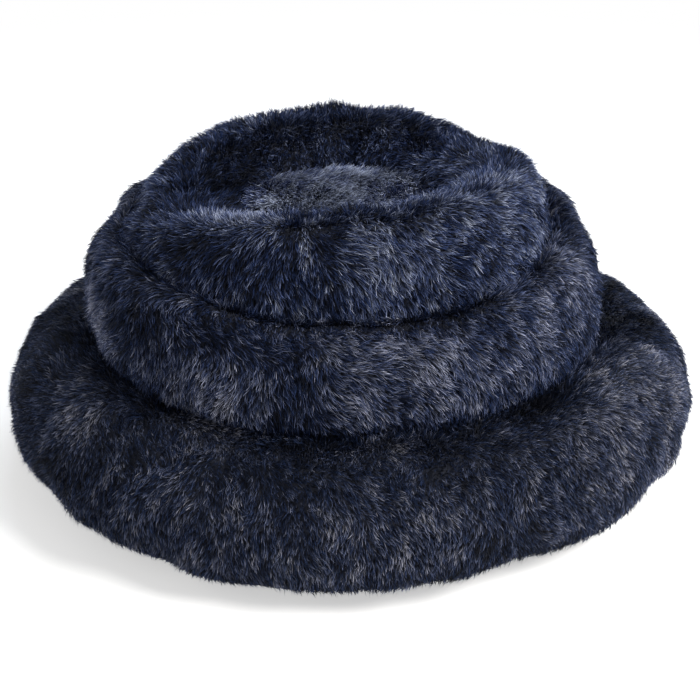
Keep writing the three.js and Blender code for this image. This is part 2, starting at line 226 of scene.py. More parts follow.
beds = {
    "large": {
        "outer": 0.392, "inner": 0.210, "crestRadius": 0.314, "crest": 0.157, "widest": 0.070,
        "seat": 0.137, "padEdge": 0.062, "padCrown": 0.080, "firstSeam": -30, "guest": "medium",
        "pile": 0.82, "frosting": 0.8, "footPaintedShade": 0.8, "lumpy": 1.0, "fine": 0.88,
        "sag": (-108, 24, 0.022),  # the foot and its base bulge here: degrees round, reach, how far
        "crestSwells": [(1, 0.045, 90), (2, 0.03, 0), (3, 0.012, 200)],
        "sideSwells": [(3, 0.008, 262), (5, 0.004, 20)],
        "puffs": [
            (165, 5.6, 20, 1.6, -0.014), (178, 3, 16, 2, 0.008), (-30, 2.5, 16, 2, 0.008),
            (6, 4.5, 12, 2, -0.003), (-64, 1.4, 12, 1.5, -0.008),
        ],
        "combsAndPaintedShading": [
            (-161, 4, 14, 3, -60, -0.04, 0), (-143, 4.5, 6.5, 0.9, 10, 0.34, 2),
            (-130, 4.6, 8, 1, 80, 0, 8), (-126, 2.8, 12, 1.4, 25, 0.06, 0),
            (-120, 3.9, 6, 0.9, -45, 0.16, 0), (-111, 2.4, 12, 1.4, 10, 0.12, 0),
            (-106, 4.9, 12, 1, 55, -0.08, 4), (-97, 2.6, 10, 1.4, 20, 0.06, 0),
            (-90, 4.7, 10, 1, 55, -0.04, 4), (-91, 3, 6, 1.2, 30, 0.10, 0),
            (-77, 3.6, 4.5, 0.6, 75, 0.30, 6), (-84, 2.2, 12, 1.2, 0, 0.14, -4),
            (-67, 3.4, 9, 1.4, 20, 0.02, 0), (-56, 3.9, 9, 1.4, 15, 0.10, 2),
            (-46, 4.3, 9, 1.4, 0, 0.20, 2), (-35, 4.9, 9, 1.2, 50, 0.24, 4),
            (-20, 4.4, 12, 2.2, 55, 0.26, 4), (-6, 5.8, 8, 1.4, -60, -0.26, 0),
            # painted shade: (-60, 0.8) darkens the front foot and (-48, 6.3) the crease where the medium bed
            # sits
            (-50, 2.4, 10, 1, 25, 0.06, 0), (-60, 0.8, 40, 0.7, 0, -0.22, 8),
            (-48, 6.3, 7, 0.6, 0, -0.35, 0), (178, 5.2, 14, 1.6, 0, -0.14, 0),
            (155, 3.4, 12, 1.8, 50, 0.22, 0), (128, 4.6, 9, 1.2, -40, 0.1, 4),
            (108, 2.8, 12, 1.4, 20, 0.24, 0), (84, 4.4, 10, 1.4, -60, 0.06, 4),
            (62, 3, 12, 1.6, 40, 0.26, 0), (38, 4.6, 10, 1.4, -50, 0.16, 2),
            (18, 2.6, 12, 1.6, 30, 0.2, 0),
        ],
    },
    "medium": {
        "outer": 0.291, "inner": 0.133, "crestRadius": 0.254, "crest": 0.138, "widest": 0.066,
        "seat": 0.0747, "padEdge": 0.040, "padCrown": 0.048, "firstSeam": 12, "guest": "small",
        "pile": 0.96, "frosting": 0.92, "footPaintedShade": 0.2, "lumpy": 1.0, "fine": 0.96, "sag": (0, 90, 0.0),
        "crestSwells": [(1, 0.08, 90), (2, 0.045, 0), (3, 0.012, 120)],
        "sideSwells": [(3, 0.01, 20), (4, 0.005, 240)],
        "puffs": [(-168, 3.4, 14, 1.6, 0.008), (180, 6, 14, 1.4, -0.008), (4, 5.8, 14, 1.6, -0.011)],
        "combsAndPaintedShading": [
            (-160, 3.5, 12, 2.5, -40, 0.18, 2), (-151, 2, 9, 1.2, -45, 0.20, 0),
            (-138, 3.6, 8, 2, 40, -0.12, 4), (-121, 4.4, 12, 1.2, 90, -0.08, 6),
            (-128, 1.8, 9, 1.4, 0, 0.20, 0), (-112, 2, 10, 1.3, -20, 0.28, 0),
            (-105, 4.4, 7, 1, 85, -0.02, 8), (-93, 4.5, 4, 0.8, 70, 0.40, 4),
            (-86, 4.3, 5, 1, 75, 0.20, 6), (-99, 2.6, 4, 1.8, 20, -0.20, 4),
            (-90, 2.1, 5.5, 1.4, 45, 0.44, 2), (-77, 4.3, 8, 1.4, 75, 0.36, 8),
            (-72, 2.5, 11, 1.5, 60, 0.26, 4), (-53, 3.2, 12, 2, 60, 0.17, 6),
            (-49, 5.2, 12, 1.2, 45, 0.10, 4), (-28, 4.4, 14, 2.5, 10, 0.20, 0),
            (150, 4.4, 14, 1.6, 60, 0.24, 4), (118, 2.6, 12, 1.4, -30, 0.14, 0),
            (96, 4.6, 10, 1.4, 70, 0.3, 4), (66, 3, 12, 1.6, -40, 0.1, 0),
            (40, 4.6, 12, 1.6, 50, 0.28, 4), (12, 3, 12, 1.6, -30, 0.16, 0),
        ],
    },
    "small": {
        "outer": 0.237, "inner": 0.105, "crestRadius": 0.203, "crest": 0.124, "widest": 0.062,
        "innerWidest": 0.082, "padEdge": 0.074, "padCrown": 0.082, "firstSeam": -8, "guest": None,
        "pile": 1.0, "frosting": 1.0, "footPaintedShade": 0.3, "lumpy": 0.45, "fine": 1.0, "sag": (0, 90, 0.0),
        "crestSwells": [(1, 0.1, -6), (2, 0.11, -75), (3, 0.015, 4)],
        "sideSwells": [(3, 0.01, 290), (4, 0.005, 60)],
        "puffs": [
            (66, 5.8, 14, 2.5, 0.007), (134, 5.8, 10, 2.5, 0.006), (44, 5.8, 10, 2, -0.004),
            (180, 4.5, 16, 2, -0.008),
        ],
        "combsAndPaintedShading": [
            (-126, 6.6, 20, 0.75, 0, 0.48, -30), (-160, 4.5, 16, 3, -70, 0.02, 4),
            (-126, 4.4, 14, 1.6, -45, -0.20, 0), (-118, 2.2, 16, 1.2, -8, 0.02, 0),
            (-134, 2, 8, 1, -30, 0.14, 0), (-104, 2.6, 8, 1.4, 5, 0.02, 0),
            (-98.5, 4.3, 2.2, 1.6, 20, 0.30, -6), (-93.5, 4.8, 4, 1.4, 65, -0.04, 6),
            (-86, 4.2, 7, 1.6, 75, 0.18, 8), (-78, 6.1, 20, 0.7, 20, 0.12, -12),
            (-79, 3.4, 9, 1.4, 65, 0.20, 6), (-82, 2.4, 12, 1, 30, 0.04, 0),
            (-64, 4.2, 10, 1.8, 65, 0.18, 6), (-67, 2.5, 10, 1, 35, 0.02, 0),
            (-42, 4.6, 16, 2.5, 55, 0.14, 4), (-38, 2.6, 14, 1.4, 35, 0.04, 0),
            # painted shade: (90, 9.5) and (-175, 8) darken the walls inside the hollow
            (-22, 6.6, 28, 1.8, 30, 0.16, -8), (90, 9.5, 70, 2.4, 0, -0.04, -24),
            (-175, 8, 34, 2.6, 0, -0.22, -18), (148, 4.4, 14, 1.6, 50, 0.2, 4),
            (116, 2.8, 12, 1.4, -40, 0.22, 0), (88, 4.6, 12, 1.4, 60, 0.1, 4),
            (56, 3.2, 14, 1.6, -50, 0.24, 0), (24, 4.4, 12, 1.6, 40, 0.16, 4),
        ],
    },
}

for name, bed in beds.items():
    low, high = (np.array(corner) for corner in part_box(f"{name}_base_cloth"))
    bed["name"] = name
    bed["level"] = low[2]
    bed["middle"] = (low[0] + high[0]) / 2
    bed["foot"] = (high[0] - low[0]) / 2


tiny = 1e-12  # keeps a length of nothing out of a division

# The smooth random fields: over what length each changes, and its seed
fields = {
    "wideLumps": (0.12, 11), "fineLumps": (0.045, 12), "padLumps": (0.08, 21),
    "napWide": (0.10, 31), "napFine": (0.04, 32), "napSides": (0.17, 33),
    "lift": (0.07, 34), "length": (0.05, 35), "clumpTurn": (0.012, 36),
    "widePatches": (0.09, 41), "finePatches": (0.03, 42), "clumpTone": (0.014, 43), "clumpPale": (0.008, 44),
    "tufts": (0.03, 51), "stitches": (0.012, 61),
}
fieldWaves = 14
fieldSpread = (0.7, 1.9)  # how much shorter and longer than its field's length a wave may be


def unit(vectors):
    return vectors / np.maximum(np.linalg.norm(vectors, axis=-1, keepdims=True), tiny)


def waveField(points, field):
    # a smooth random field, about -1 to 1
    length, seed = fields[field]
    dice = np.random.default_rng(seed)
    total = np.zeros(points.shape[:-1])
    for _ in range(fieldWaves):
        aim = unit(dice.normal(size=3))
        pace = 2 * math.pi / (length * dice.uniform(*fieldSpread))
        total += np.sin(points @ (aim * pace) + dice.uniform(0, 2 * math.pi))
    return total / math.sqrt(fieldWaves)


def rise(value, start, over):
    # 0 up to the start, and 1 once it is over
    return np.clip((value - start) / over, 0, 1)


def degreesFrom(azimuth, place):
    # how many degrees round the ring it is from a place, -180 to 180
    return (np.degrees(azimuth) - place + 180) % 360 - 180


def swell(swells, azimuth):
    factor = 1.0
    for waves, share, peak in swells:
        factor = factor + share * np.cos(waves * (azimuth - math.radians(peak)))
    return factor


def footSag(bed, azimuth):
    # how far the foot stands out of its round
    place, reach, out = bed["sag"]
    return out * np.exp(-((degreesFrom(azimuth, place) / reach) ** 2))


def wallRadius(bed, azimuth, height):
    # outer wall at and below its widest height
    widest = bed["outer"] * swell(bed["sideSwells"], azimuth)
    below = np.maximum(0, 1 - height / bed["widest"])
    return widest - (widest - bed["foot"]) * below**2 + footSag(bed, azimuth) * below


wallShares = (0, 0.5, 1)  # of the height of an outer wall
quarterTurn = (22.5, 45, 67.5, 90)  # degrees of the points on a rounding


def sectionPoints(bed, azimuth):
    # the points that the ring's section runs through, as (azimuth, point, radius and height)
    crest = bed["crest"] * swell(bed["crestSwells"], azimuth)
    crestRadius = bed["crestRadius"]
    line = []
    for share in wallShares:
        line.append((wallRadius(bed, azimuth, bed["widest"] * share), bed["widest"] * share))
    widest = wallRadius(bed, azimuth, bed["widest"])
    for degrees in quarterTurn:
        turn = math.radians(degrees)
        across = crestRadius + (widest - crestRadius) * math.cos(turn)
        line.append((across, bed["widest"] + (crest - bed["widest"]) * math.sin(turn)))
    if bed["guest"]:
        guest = beds[bed["guest"]]
        shift = (guest["middle"] - bed["middle"]) * np.cos(azimuth)
        hugged = (crest - bed["seat"]) * shared["touch"]
        for share in wallShares[::-1]:
            across = wallRadius(guest, azimuth, hugged * share) + shift + shared["sideGap"]
            line.append((across, bed["seat"] + hugged * share))
        line.append((bed["inner"] + shared["seatRound"], bed["seat"]))
        line.append((bed["inner"], bed["seat"] - shared["seatRound"]))
    else:
        climb = crest - bed["innerWidest"]
        for degrees in quarterTurn:
            turn = math.radians(degrees)
            across = crestRadius - (crestRadius - bed["inner"]) * math.sin(turn)
            line.append((across, bed["innerWidest"] + climb * math.cos(turn)))
        line.append((bed["inner"], (bed["innerWidest"] + shared["base"]) / 2))
    line.append((bed["inner"], shared["base"]))
    flat = np.zeros_like(azimuth)
    return np.stack([np.stack([across + flat, height + flat], -1) for across, height in line], 1)


def splineThrough(control, along, pull=0.38):
    # smooth line through the control points; along runs from 0 to the last point's number
    last = control.shape[1] - 1
    start = np.clip(np.floor(along).astype(int), 0, last - 1)
    t = (along - start)[None, :, None]
    here, there = control[:, start], control[:, start + 1]
    leave = pull * (there - control[:, np.maximum(start - 1, 0)])
    arrive = pull * (control[:, np.minimum(start + 2, last)] - here)
    return (
        (2 * t**3 - 3 * t**2 + 1) * here + (t**3 - 2 * t**2 + t) * leave
        + (3 * t**2 - 2 * t**3) * there + (t**3 - t**2) * arrive
    )


def seamDraw(bed, azimuth):
    # 1 on a seam between two panels, fading to 0 beside it
    spacing = 2 * math.pi / panelsPerRing
    fromSeam = azimuth - math.radians(bed["firstSeam"])
    offset = fromSeam - spacing * np.round(fromSeam / spacing)
    return np.exp(-((offset * bed["outer"] / shared["seamReach"]) ** 2))


def gridNormals(grid):
    # grid (round the ring, along its section, 3): unit normals that point out of the ring
    return unit(np.cross(np.gradient(grid, axis=0), np.gradient(grid, axis=1)))


def standGrid(bed, line, azimuth):
    # section lines stood up round the bed's middle
    return np.stack([
        bed["middle"] + line[..., 0] * np.cos(azimuth)[:, None],
        line[..., 0] * np.sin(azimuth)[:, None],
        bed["level"] + line[..., 1] + np.zeros_like(azimuth)[:, None],
    ], -1)


def nearness(azimuth, along, place, step, reach, steps):
    # 1 at one place on a ring's section, fading to 0 round it
    return np.exp(-((degreesFrom(azimuth, place) / reach) ** 2) - ((along - step) / steps) ** 2)


# Its places are steps on the section: (where it starts, over how many it fades)
stuffing = {
    "wide": 0.0032,
    "fine": 0.0016,
    "feet": (0, 1.5),  # the lumps fade out towards both feet
    "seatStep": 7.2,  # and end here where a nested bed presses the seat smooth
    "nestedFoot": (0.6, 1.6),  # a nested bed's own foot is pressed smooth too
    "crest": (6.5, 2.2),  # the seams run shallow here: step, reach
}


def ringGrid(bed, start, end, columns, rows):
    # the cover's outer face between two azimuths, with its drawn-in seams and the lumps of its stuffing
    azimuth = np.linspace(start, end, columns)
    along = np.linspace(0, sectionSteps, rows)
    grid = standGrid(bed, splineThrough(sectionPoints(bed, azimuth), along), azimuth)
    free = rise(along, *stuffing["feet"]) * rise(sectionSteps - along, *stuffing["feet"])
    if bed["guest"]:
        free = free * rise(stuffing["seatStep"] - along, 0, 1)
    lumps = stuffing["wide"] * bed["lumpy"] * waveField(grid, "wideLumps")
    lumps += stuffing["fine"] * waveField(grid, "fineLumps")
    for place, step, reach, steps, out in bed["puffs"]:
        lumps += out * nearness(azimuth[:, None], along[None, :], place, step, reach, steps)
    if bed["name"] != "large":
        lumps = lumps * rise(along, *stuffing["nestedFoot"])
    crestStep, crestSteps = stuffing["crest"]
    shallow = 1 - shared["crestSeamEase"] * np.exp(-(((along - crestStep) / crestSteps) ** 2))
    lumps -= shared["seamDepth"] * seamDraw(bed, azimuth)[:, None] * shallow
    return grid + gridNormals(grid) * (lumps * free)[..., None], azimuth, along


def sunk(bed, grid, depth):
    # the same face a depth further in, its feet kept on the base cloth
    inner = grid - gridNormals(grid) * depth
    inner[..., 2] = np.maximum(inner[..., 2], bed["level"] + shared["base"])
    return inner


# Meshes from arrays of points

def meshObject(name, points, corners, sizes, uvs=None):
    mesh = bpy.data.meshes.new(name)
    mesh.vertices.add(len(points))
    mesh.vertices.foreach_set("co", np.ascontiguousarray(points, dtype=np.float32).ravel())
    mesh.loops.add(len(corners))
    mesh.loops.foreach_set("vertex_index", np.ascontiguousarray(corners, dtype=np.int32))
    mesh.polygons.add(len(sizes))
    starts = np.concatenate([[0], np.cumsum(sizes)[:-1]]).astype(np.int32)
    mesh.polygons.foreach_set("loop_start", starts)
    mesh.polygons.foreach_set("use_smooth", np.ones(len(sizes), dtype=bool))
    if uvs is not None:
        layer = mesh.uv_layers.new(name="OFBake")
        layer.data.foreach_set("uv", np.ascontiguousarray(uvs, dtype=np.float32).ravel())
    mesh.update(calc_edges=True)
    mesh.validate()
    piece = bpy.data.objects.new(name, mesh)
    scene.collection.objects.link(piece)
    return piece


def quadsOf(index):
    # corner numbers of the quads of a grid of vertex numbers
    corners = (index[:-1, :-1], index[1:, :-1], index[1:, 1:], index[:-1, 1:])
    return np.stack(corners, -1).reshape(-1, 4)


def shellObject(name, outer, inner, closed=False):
    # a cloth with thickness: outer and inner grids joined round their edges
    columns, rows = outer.shape[:2]
    points = np.concatenate([outer.reshape(-1, 3), inner.reshape(-1, 3)])
    top = np.arange(columns * rows).reshape(columns, rows)
    if closed:
        top = np.concatenate([top, top[:1]], 0)
    under = top + columns * rows
    quads = [quadsOf(top), quadsOf(under)[:, ::-1]]
    edges = [(top[:, 0], under[:, 0]), (under[:, -1], top[:, -1])]
    if not closed:
        edges += [(under[0], top[0]), (top[-1], under[-1])]
    for a, b in edges:
        quads.append(np.stack([a[:-1], b[:-1], b[1:], a[1:]], -1))
    quads = np.concatenate(quads)
    return meshObject(name, points, quads.ravel(), np.full(len(quads), 4))


def dress(piece, bed, look, node=None):
    # what every piece of a bed needs: its material, body and the solid that it stands for
    piece.data.materials.append(look)
    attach(piece, bed["name"] + "_bed")
    if node:
        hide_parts(node)


# Materials

finishes = {
    "root": (0.0012, 0.0016, 0.0035),
    "ink": (0.0040, 0.0065, 0.016),
    "navy": (0.030, 0.058, 0.170),
    "slate": (0.215, 0.252, 0.415),
    "frost": (0.78, 0.80, 0.98),
    "backing": (0.004, 0.006, 0.015),
    "fibre": (0.82, 0.81, 0.78),
    "base": (0.010, 0.011, 0.016),
    "tape": (0.014, 0.018, 0.040),
    "metal": (0.45, 0.46, 0.48),
}


def emptyMaterial(name, roughness):
    material = bpy.data.materials.new(name)
    material.use_nodes = True
    nodes, links = material.node_tree.nodes, material.node_tree.links
    nodes.clear()
    output = nodes.new("ShaderNodeOutputMaterial")
    shader = nodes.new("ShaderNodeBsdfPrincipled")
    shader.inputs["Roughness"].default_value = roughness
    links.new(shader.outputs[0], output.inputs["Surface"])
    return material, nodes, links, shader


def ramp(nodes, links, factor, stops):
    node = nodes.new("ShaderNodeValToRGB")
    bar = node.color_ramp
    while len(bar.elements) < len(stops):
        bar.elements.new(0.5)
    for element, (place, color) in zip(bar.elements, stops):
        element.position = place
        element.color = (*color, 1)
    links.new(factor, node.inputs[0])
    return node.outputs[0]


def shades(color, *shares):
    return [tuple(min(1, share * channel) for channel in color) for share in shares]


def addBump(nodes, links, shader, height, strength, distance):
    bump = nodes.new("ShaderNodeBump")
    bump.inputs["Strength"].default_value = strength
    bump.inputs["Distance"].default_value = distance
    links.new(height, bump.inputs["Height"])
    links.new(bump.outputs[0], shader.inputs["Normal"])


# The pile's tips run through these finishes as the strand's tone rises, and its root fades in up the strand
pileLook = {
    "roughness": 0.6,
    "specular": 0.1,
    "tips": {"ink": 0.05, "navy": 0.34, "slate": 0.66, "frost": 1.0},
    "fade": {0.22: 0.0, 0.58: 0.22, 0.94: 1.0},
}


def pileMaterial(name, tint):
    material, nodes, links, shader = emptyMaterial(name, pileLook["roughness"])
    shader.inputs["Specular IOR Level"].default_value = pileLook["specular"]
    coords = nodes.new("ShaderNodeUVMap")
    coords.uv_map = "OFBake"
    split = nodes.new("ShaderNodeSeparateXYZ")
    links.new(coords.outputs["UV"], split.inputs[0])
    tips = [
        (place, np.minimum(1, np.multiply(finishes[key], tint))) for key, place in pileLook["tips"].items()
    ]
    tip = ramp(nodes, links, split.outputs["X"], tips)
    fade = ramp(nodes, links, split.outputs["Y"], [(up, (on,) * 3) for up, on in pileLook["fade"].items()])
    mix = nodes.new("ShaderNodeMix")
    mix.data_type = "RGBA"
    mix.inputs["A"].default_value = (*finishes["root"], 1)
    links.new(fade, mix.inputs["Factor"])
    links.new(tip, mix.inputs["B"])
    links.new(mix.outputs["Result"], shader.inputs["Base Color"])
    return material


# Finishes whose colour and relief follow one fine noise. The shades are shares of the finish, at these stops
# of the noise, and the bump is its strength and depth.
grains = {
    "backing": {  # the dark knitted cloth that the pile grows from
        "scale": 420, "detail": 3, "twist": 0.0, "roughness": 0.9,
        "stops": (0.3, 0.7), "shades": (0.6, 1.7), "bump": (0.5, 0.001),
    },
    "fibre": {  # white polyester fibre, finely tangled
        "scale": 160, "detail": 6, "twist": 2.5, "roughness": 1.0,
        "stops": (0.3, 0.7), "shades": (0.75, 1.05), "bump": (0.6, 0.002),
    },
    "metal": {  # plated zip metal, dulled and finely scratched by use
        "scale": 900, "detail": 4, "twist": 1.5, "roughness": 0.35,
        "stops": (0.35, 0.6), "shades": (0.75, 1.1), "bump": (0.15, 0.0002),
        "wear": {0.3: 0.5, 0.7: 0.26},  # roughness over the noise
    },
}


def grainedMaterial(name, finish):
    look = grains[finish]
    material, nodes, links, shader = emptyMaterial(name, look["roughness"])
    coords = nodes.new("ShaderNodeTexCoord")
    noise = nodes.new("ShaderNodeTexNoise")
    noise.inputs["Scale"].default_value = look["scale"]
    noise.inputs["Detail"].default_value = look["detail"]
    noise.inputs["Distortion"].default_value = look["twist"]
    links.new(coords.outputs["Object"], noise.inputs["Vector"])
    grain = noise.outputs["Fac"]
    stops = zip(look["stops"], shades(finishes[finish], *look["shades"]))
    links.new(ramp(nodes, links, grain, list(stops)), shader.inputs["Base Color"])
    addBump(nodes, links, shader, grain, *look["bump"])
    if "wear" in look:
        shader.inputs["Metallic"].default_value = 1.0
        wear = ramp(nodes, links, grain, [(place, (rough,) * 3) for place, rough in look["wear"].items()])
        links.new(wear, shader.inputs["Roughness"])
    return material


# tints of the piles: partly dye lots and partly painted light, the pads and the top bed bluer for the cool
# light from above, the large bed warmer
dyeLotsAndPaintedLight = {
    "large": (1.03, 1.0, 0.93),
    "medium": (0.97, 0.99, 1.02),
    "small": (0.91, 0.98, 1.09),
    "pads": (0.87, 0.96, 1.20),
}
pileLooks = {name: pileMaterial(name + "PlushPile", dyeLotsAndPaintedLight[name]) for name in beds}
padLook = pileMaterial("padPlushPile", dyeLotsAndPaintedLight["pads"])
backingLook = grainedMaterial("plushBacking", "backing")
fibreLook = grainedMaterial("fibreFilling", "fibre")
print("plush, backing and fibre mixed")

# The pile: over half a million flat, bent, tapering strands rooted on grids of points

pile = {
    "length": 0.0126,
    "lengthSpread": 0.28,
    "lengthLimits": (-2, 1.6),  # in spreads
    "lengthPatch": 0.1,
    "width": 0.00084,
    "widthSpread": (0.65, 1.4),
    "rootWidth": 0.8,
    "perSquareMetre": 380000,
    "hiddenShare": 0.33,  # how many grow where another bed covers the cloth
    "rootLean": 37,  # degrees from upright
    "rootLimits": (5, 84),
    "tipLean": 72,
    "tipLimits": (12, 88),
    "leanPatch": 11,
    "partingStep": 6.8,  # the nap falls both ways from here on a ring's section
    "partingSharp": 1.4,
    "partingStand": 12,  # and stands up by this many degrees there
    "combHold": 0.75,  # how far a comb stops the wild turns and tones
    "combStretch": 0.03,  # combed strands show this much longer for each degree of lean
    "combStretchMost": 9,
    "clumpSize": 0.0062,
    "clumpPull": 0.55,
    "clumpPullSpread": (0.5, 1.2),
    "bendPull": 0.3,
    "bendShare": 0.35,  # how much of the tip's way the lower half of a strand has
    "stray": 0.21,
    "rootStray": 0.5,
    "droop": 0.12,
    "spin": 0.7,  # radians about its own length
    "rootDepth": 0.001,
    "footGap": 0.0015,  # how far the middle of a strand stays above its bed's underside
    "ceiling": 0.019,  # no strand stands further above the solids
}

napTurns = {  # radians
    "wide": 0.55,
    "sides": 0.5,  # in whole patches to one side or the other
    "sideSharp": 3,
    "fine": 0.35,
    "clump": 0.2,
    "strand": 0.12,
}

pressedPile = {  # what a nested bed or the floor does to the pile
    "rootLean": 40,
    "tipLean": 20,
    "calm": 0.8,
    "shorter": 0.4,
    "wider": 1.2,  # matted into wider strands
    "darker": 0.3,
}

tones = {  # 0 is ink and 1 is frost
    "plain": 0.43,
    "pale": 0.31,  # added on the strands with pale tips
    "paleShare": 0.3,  # how many those are, more in a pale patch
    "paleLimits": (0.02, 0.85),
    "widePatch": 0.12,
    "finePatch": 0.10,
    "clump": 0.12,
    "patchTone": 0.8,
    "patchPale": 1.4,
    "lockEdgePaintedShade": 0.27,  # painted shade: how much darker the edge of a lock is, for the shade in the gaps between locks
    "lockEdgeMost": 1.2,
    "lockPale": 0.42,  # how far the share of pale tips changes from lock to lock
    "strand": 0.1,
    "limits": (0.02, 0.98),
    "sliver": 0.01,  # the colour map's half width for one strand
}


def bilinear(grid, i, j, fi, fj):
    if grid.ndim > 2:
        fi, fj = fi[:, None], fj[:, None]
    return (
        grid[i, j] * (1 - fi) * (1 - fj) + grid[i + 1, j] * fi * (1 - fj)
        + grid[i, j + 1] * (1 - fi) * fj + grid[i + 1, j + 1] * fi * fj
    )


cellPrimes = (73856093, 19349663, 83492791)  # they scramble a cell's place into one number
jitterPrimes = (7919, 104729, 1299709)
jitterSteps = 1009


def clumpCentres(roots, size):
    # each root's nearest clump centre, one in each cell of a jittered lattice
    cell = np.floor(roots / size).astype(np.int64)
    best = np.full(len(roots), np.inf)
    target = np.array(roots)
    for step in np.ndindex(3, 3, 3):  # the cell itself and all that touch it
        other = cell + step - 1
        key = np.bitwise_xor.reduce(other * cellPrimes, axis=1)
        jitter = np.stack([((key * prime) % jitterSteps) / jitterSteps for prime in jitterPrimes], -1)
        centre = (other + jitter) * size
        distance = np.linalg.norm(centre - roots, axis=-1)
        nearer = distance < best
        best = np.where(nearer, distance, best)
        target = np.where(nearer[:, None], centre, target)
    return target


def scatter(surface, weight, pressed, dice):
    # where the strands grow, and what the surface is like at each root
    grid = surface["grid"]
    sideA = np.linalg.norm(grid[1:, :-1] - grid[:-1, :-1], axis=-1)
    sideB = np.linalg.norm(grid[:-1, 1:] - grid[:-1, :-1], axis=-1)
    areas = sideA * sideB * weight[:-1, :-1]
    count = int(areas.sum() * pile["perSquareMetre"])
    chance = np.cumsum(areas.ravel())
    pick = np.searchsorted(chance, (np.arange(count) + dice.random(count)) / count * chance[-1])
    i, j = np.unravel_index(np.minimum(pick, areas.size - 1), areas.shape)
    spot = (i, j, dice.random(count), dice.random(count))
    at = {key: bilinear(surface[key], *spot) for key in ("azimuth", "step", "trim", "fall", "tone")}
    for key in ("normals", "nap", "round"):
        at[key] = unit(bilinear(surface[key], *spot))
    at["root"] = bilinear(grid, *spot)
    at["flat"] = bilinear(pressed, *spot)
    at["centre"] = clumpCentres(at["root"], pile["clumpSize"])
    return at


def combedAndShaded(bed, at):
    # what the bed's combs do at each root: turn and lean in degrees, tone with its painted light and shade,
    # and how wild the pile stays
    sums = {key: np.zeros(len(at["root"])) for key in ("turn", "tone", "lean", "done")}
    for place, step, reach, steps, turn, tone, lean in bed["combsAndPaintedShading"]:
        near = nearness(at["azimuth"], at["step"], place, step, reach, steps)
        for key, value in (("turn", turn), ("tone", tone), ("lean", lean), ("done", 1)):
            sums[key] += value * near
    share = np.maximum(sums["done"], 1)
    return {
        "turn": sums["turn"] / share,
        "tone": sums["tone"] / np.sqrt(share),
        "lean": sums["lean"] / share,
        "wild": 1 - pile["combHold"] * np.minimum(sums["done"], 1),
    }


def strandWays(at, combAndShading, stand, dice):
    # the ways in which the strands leave their roots and end
    root, flat, fall, count = at["root"], at["flat"], at["fall"], len(at["root"])
    turn = napTurns["wide"] * waveField(root, "napWide")
    turn += napTurns["sides"] * np.tanh(napTurns["sideSharp"] * waveField(root, "napSides"))
    turn = turn * combAndShading["wild"] + napTurns["fine"] * waveField(root, "napFine") + np.radians(combAndShading["turn"])
    turn += napTurns["clump"] * waveField(at["centre"], "clumpTurn")
    turn += dice.normal(0, napTurns["strand"], count)
    nap = (fall * np.cos(turn))[:, None] * at["nap"] + np.sin(turn)[:, None] * at["round"]
    lift = pile["leanPatch"] * np.clip(waveField(root, "lift"), -1, 1) + combAndShading["lean"]
    lift -= pile["partingStand"] * (1 - np.abs(fall)) + stand
    stray = dice.normal(0, pile["stray"], (count, 3)) * (1 - pressedPile["calm"] * flat)[:, None]
    ways = []
    for end, share in (("root", pile["rootStray"]), ("tip", 1)):
        lean = pile[end + "Lean"] + lift + pressedPile[end + "Lean"] * flat
        lean = np.radians(np.clip(lean, *pile[end + "Limits"]))[:, None]
        ways.append(np.cos(lean) * at["normals"] + np.sin(lean) * nap + share * stray)
    ways[1][:, 2] -= pile["droop"] * (1 - flat) * at["trim"]
    return [unit(way) for way in ways]


def strandTones(bed, at, combAndShading, lockEdgePaintedShade, dice):
    # a tone for each strand, from its patch, its lock and whether its tip is pale; painted light and shade
    # come in through the patch and the lock's edge
    root, centre, count = at["root"], at["centre"], len(at["root"])
    patch = tones["widePatch"] * waveField(root, "widePatches") * combAndShading["wild"]
    patch += tones["finePatch"] * waveField(root, "finePatches")
    # painted light and shade: the combs' tones, the seat's painted light and the pad's painted edge shade,
    # and painted shade on the clipped foot
    patch += combAndShading["tone"] + at["tone"] - bed["footPaintedShade"] * (1 - at["trim"])
    patch += tones["clump"] * waveField(centre, "clumpTone")
    # painted shade: strands at a lock's edge are darker
    tone = tones["plain"] + tones["patchTone"] * patch - tones["lockEdgePaintedShade"] * lockEdgePaintedShade
    tone += bed["frosting"] * tones["strand"] * dice.normal(0, 1, count)
    chance = tones["paleShare"] + tones["patchPale"] * patch
    chance += tones["lockPale"] * waveField(centre, "clumpPale")
    tone += bed["frosting"] * tones["pale"] * (dice.random(count) < np.clip(chance, *tones["paleLimits"]))
    return (tone * (1 - pressedPile["darker"] * at["flat"])).clip(*tones["limits"])


# A strand is a quad from the root to the bend and a triangle to the tip: the numbers of their five points,
# and for each corner its side (left, right, middle) and height (root, bend, tip) on the colour map
strandCorners = np.array([0, 1, 3, 2, 2, 3, 4])
strandPoints = 5
strandFaces = [4, 3]
strandMap = [(0, 0), (1, 0), (1, 1), (0, 1), (0, 1), (1, 1), (2, 2)]


